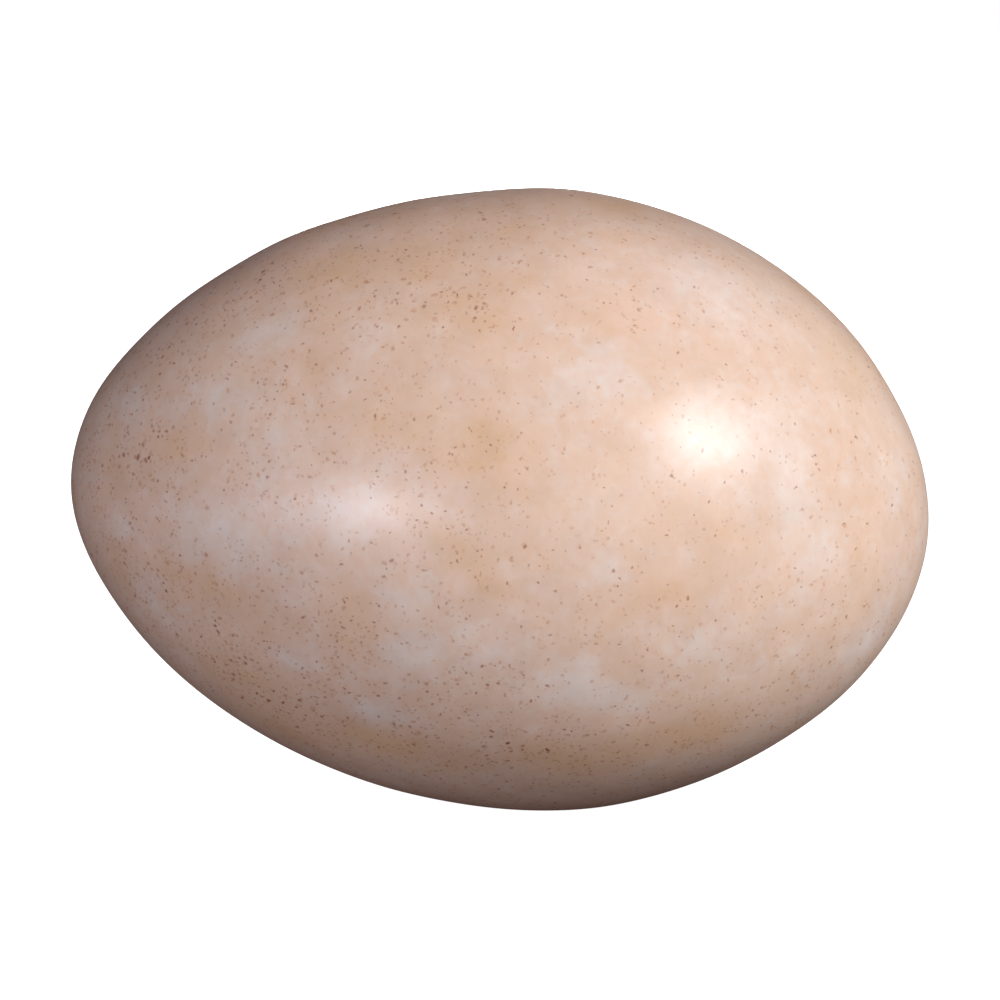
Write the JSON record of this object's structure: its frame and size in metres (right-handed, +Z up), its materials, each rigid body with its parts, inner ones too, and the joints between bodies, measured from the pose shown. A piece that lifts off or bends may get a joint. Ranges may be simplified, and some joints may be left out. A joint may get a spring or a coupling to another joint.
{
  "type": "fossil sauropod egg",
  "caption": "Smooth ovoid fossil egg of pale buff stone with fine red-brown specks, lying on its side on a small flat spot.",
  "frame": {"origin": "on the surface that the egg lies on, under the middle of its box", "axes": "+X along the egg to its blunt end, +Z up from the flat spot that it rests on"},
  "size_m": [0.2496, 0.1812, 0.1798],
  "materials": {
    "shell": "satin polished eggshell, mottled warm buff and pale grey, with fine red-brown specks"
  },
  "bodies": {
    "root": {"egg": "shell"}
  },
  "joints": []
}
